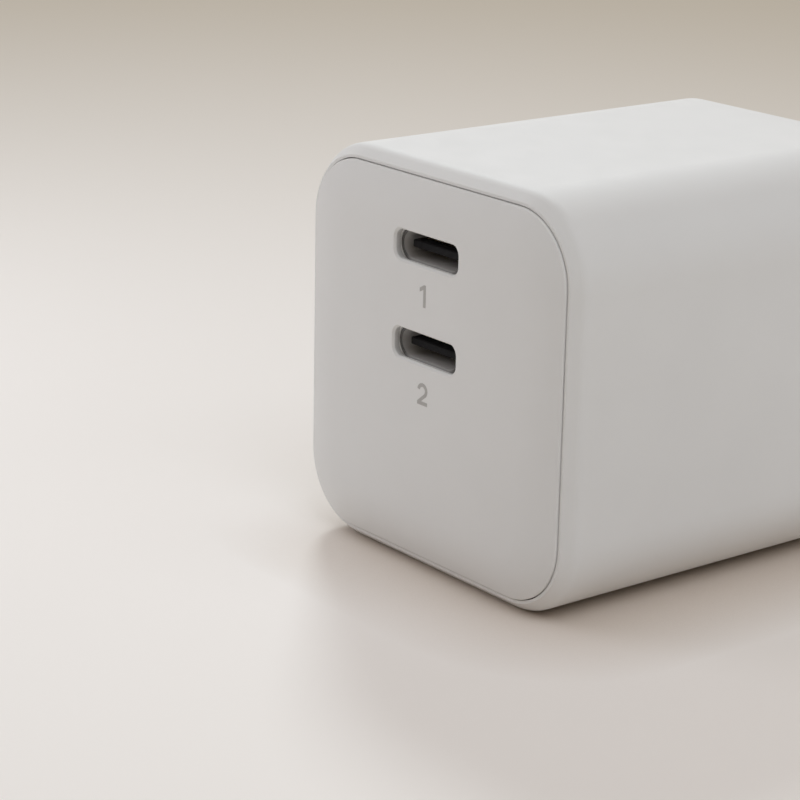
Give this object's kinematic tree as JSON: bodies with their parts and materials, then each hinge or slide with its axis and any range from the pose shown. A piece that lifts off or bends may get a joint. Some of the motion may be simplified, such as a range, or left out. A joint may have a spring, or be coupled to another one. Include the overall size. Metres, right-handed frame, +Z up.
{
  "type": "two-port wall charger",
  "caption": "Rounded-square wall charger with a pillowed port panel, a USB-C mouth over another, and a folding flat-blade mains plug at the rear.",
  "frame": {"origin": "middle of the footprint, on the surface that the charger stands on", "axes": "+X to the right as the port panel is looked at, +Y from the ports to the plug, +Z up"},
  "size_m": [0.039, 0.0468, 0.039],
  "materials": {
    "housing": "fine satin moulding, warm white",
    "panel": "fine satin moulding, warm white",
    "rear_plastic": "fine satin moulding, warm white",
    "blade_metal": "nickel-plated brass",
    "contact_metal": "gold-plated spring bronze",
    "port_steel": "drawn steel, nickel-plated, dark inside",
    "port_black": "glass-filled black moulding",
    "circuit_board": "green solder mask",
    "chip_black": "moulded epoxy",
    "disc_coat": "dipped epoxy",
    "capacitor_box": "moulded box, potted",
    "ferrite": "ground ferrite",
    "copper": null,
    "capacitor_sleeve": "shrunk sleeve over an aluminium can",
    "capacitor_can": "bare polymer capacitor can",
    "tape": "polyester film",
    "thermal_pad": "soft silicone"
  },
  "bodies": {
    "charger": {"body_shell": "housing", "front_panel": "panel", "rear_cover": "rear_plastic", "contact_spring_left": "contact_metal", "contact_spring_right": "contact_metal", "usb_c1_shell": "port_steel", "usb_c1_tongue": "port_black", "usb_c1_contacts": "contact_metal", "usb_c2_shell": "port_steel", "usb_c2_tongue": "port_black", "usb_c2_contacts": "contact_metal", "port_board": "circuit_board", "port_controllers": "chip_black", "main_board": "circuit_board", "control_board": "circuit_board", "gan_switch": "chip_black", "sync_rectifiers": "chip_black", "fuse": "chip_black", "thermistor": "chip_black", "varistor": "disc_coat", "x_capacitor": "capacitor_box", "y_capacitor": "disc_coat", "choke_core": "ferrite", "choke_windings": "copper", "bridge_rectifier": "chip_black", "bulk_capacitor_1": "capacitor_sleeve", "bulk_capacitor_2": "capacitor_sleeve", "transformer_core": "ferrite", "transformer_bobbin": "port_black", "transformer_winding": "tape", "output_capacitors": "capacitor_can", "output_inductor": "ferrite", "heat_spreader": "copper", "insulation_sheet": "tape", "thermal_pad_top": "thermal_pad", "thermal_pad_bottom": "thermal_pad"},
    "plug": {"plug_rocker": "rear_plastic", "blade_left": "blade_metal", "blade_right": "blade_metal"}
  },
  "joints": [
    {"name": "plug_fold", "type": "hinge", "parent": "charger", "child": "plug", "pos_m": [0, 0.01992, 0.0275], "axis": [1, 0, 0], "range_deg": [0, 90]}
  ]
}
